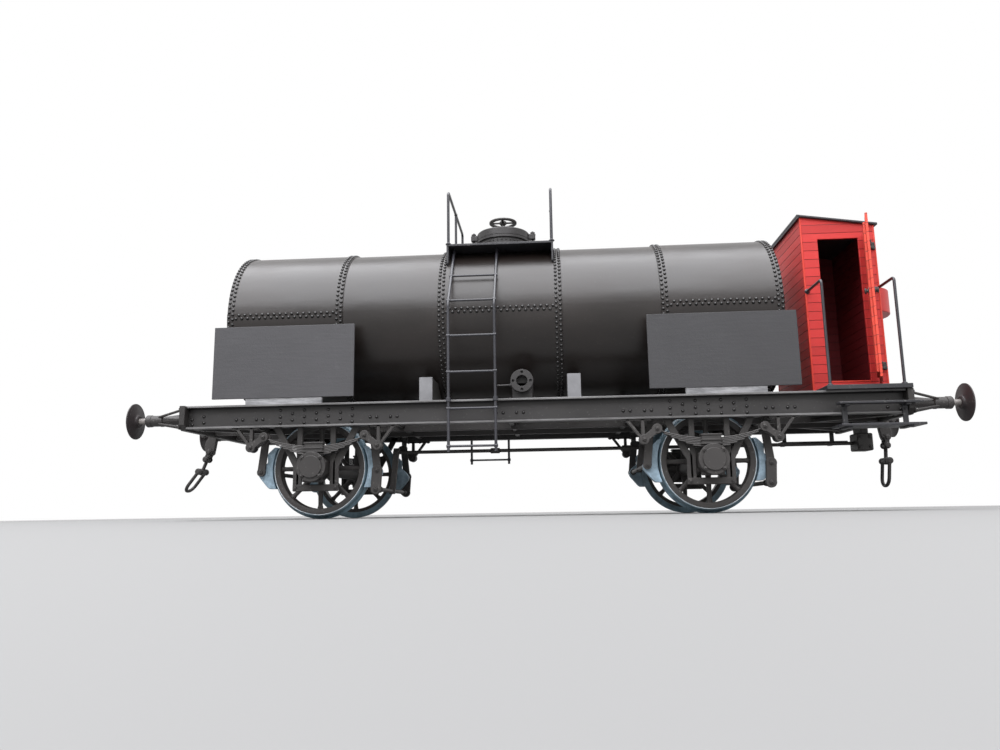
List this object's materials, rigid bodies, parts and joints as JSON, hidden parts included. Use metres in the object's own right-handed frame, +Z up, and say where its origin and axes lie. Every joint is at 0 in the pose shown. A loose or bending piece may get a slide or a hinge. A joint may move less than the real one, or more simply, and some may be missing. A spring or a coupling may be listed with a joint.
{
  "type": "railway tank car model",
  "caption": "Riveted tank car, a display model: tank on a channel frame, spoked wheels that turn, ladders, top deck and a red brakeman's cab with swinging doors.",
  "frame": {"origin": "on the floor under the middle of the frame, at the level of the wheel flanges lowest points", "axes": "+X along the car towards the cab, +Y across it away from the side with the open door, +Z up"},
  "size_m": [0.3454, 0.0968, 0.1444],
  "materials": {
    "tank_shell": "satin near-black paint on riveted plates",
    "tank_fittings": "satin near-black paint",
    "frame": "satin near-black paint on rolled sections",
    "running_gear": "dull black paint",
    "wheels": "dull black faces, bare grey-blue treads",
    "bare_blocks": "pale grey-blue, as bare iron",
    "sign_boards": "flat dark grey board",
    "hand_rails": "black round rod",
    "cab_planks": "bright red paint on scored planks",
    "cab_roof": "dark roof sheet",
    "foot_boards": "black painted boards"
  },
  "bodies": {
    "chassis": {"axle_boxes": "running_gear", "axle_guards": "running_gear", "brake_beams": "running_gear", "brake_blocks": "bare_blocks", "brake_hangers": "running_gear", "brake_pull_rod": "running_gear", "brake_screw": "running_gear", "buffer_guides": "running_gear", "buffer_heads": "running_gear", "cab_floor": "foot_boards", "cab_roof": "cab_roof", "cab_wall_buffer_end": "cab_planks", "cab_wall_far": "cab_planks", "cab_wall_near": "cab_planks", "cab_wall_tank_end": "cab_planks", "coupling_cab_end": "running_gear", "coupling_tank_end": "running_gear", "crank_box": "cab_planks", "cross_bearers": "frame", "diagonal_braces": "frame", "grab_rails": "hand_rails", "guard_rail_left": "hand_rails", "guard_rail_right": "hand_rails", "headstock_cab_end": "frame", "headstock_tank_end": "frame", "hinge_pins_far": "running_gear", "hinge_pins_near": "running_gear", "inner_sills": "frame", "ladder_far": "hand_rails", "ladder_near": "hand_rails", "leaf_springs": "running_gear", "lid_hand_wheel": "tank_fittings", "manhole_lid": "tank_fittings", "manhole_neck": "tank_fittings", "outlet_far": "tank_fittings", "outlet_near": "tank_fittings", "sign_boards_far": "sign_boards", "sign_boards_near": "sign_boards", "solebar_far": "frame", "solebar_near": "frame", "spring_hangers": "running_gear", "steps_far": "foot_boards", "steps_near": "foot_boards", "tank_barrel": "tank_shell", "tank_saddles": "frame", "top_deck_far": "tank_fittings", "top_deck_near": "tank_fittings"},
    "wheelset_left": {"wheels_left": "wheels", "axle_left": "running_gear"},
    "wheelset_right": {"wheels_right": "wheels", "axle_right": "running_gear"},
    "near_door": {"cab_door_near": "cab_planks"},
    "far_door": {"cab_door_far": "cab_planks"}
  },
  "joints": [
    {"name": "wheelset_left_spin", "type": "hinge", "parent": "chassis", "child": "wheelset_left", "pos_m": [-0.0918, 0, 0.0211], "axis": [0, 1, 0], "continuous": true},
    {"name": "wheelset_right_spin", "type": "hinge", "parent": "chassis", "child": "wheelset_right", "pos_m": [0.0697, 0, 0.0211], "axis": [0, 1, 0], "continuous": true},
    {"name": "near_door_swing", "type": "hinge", "parent": "chassis", "child": "near_door", "pos_m": [0.1446, -0.0264, 0.0596], "axis": [0, 0, 1], "range_deg": [-69, 20]},
    {"name": "far_door_swing", "type": "hinge", "parent": "chassis", "child": "far_door", "pos_m": [0.1446, 0.0264, 0.0596], "axis": [0, 0, -1], "range_deg": [0, 89]}
  ]
}
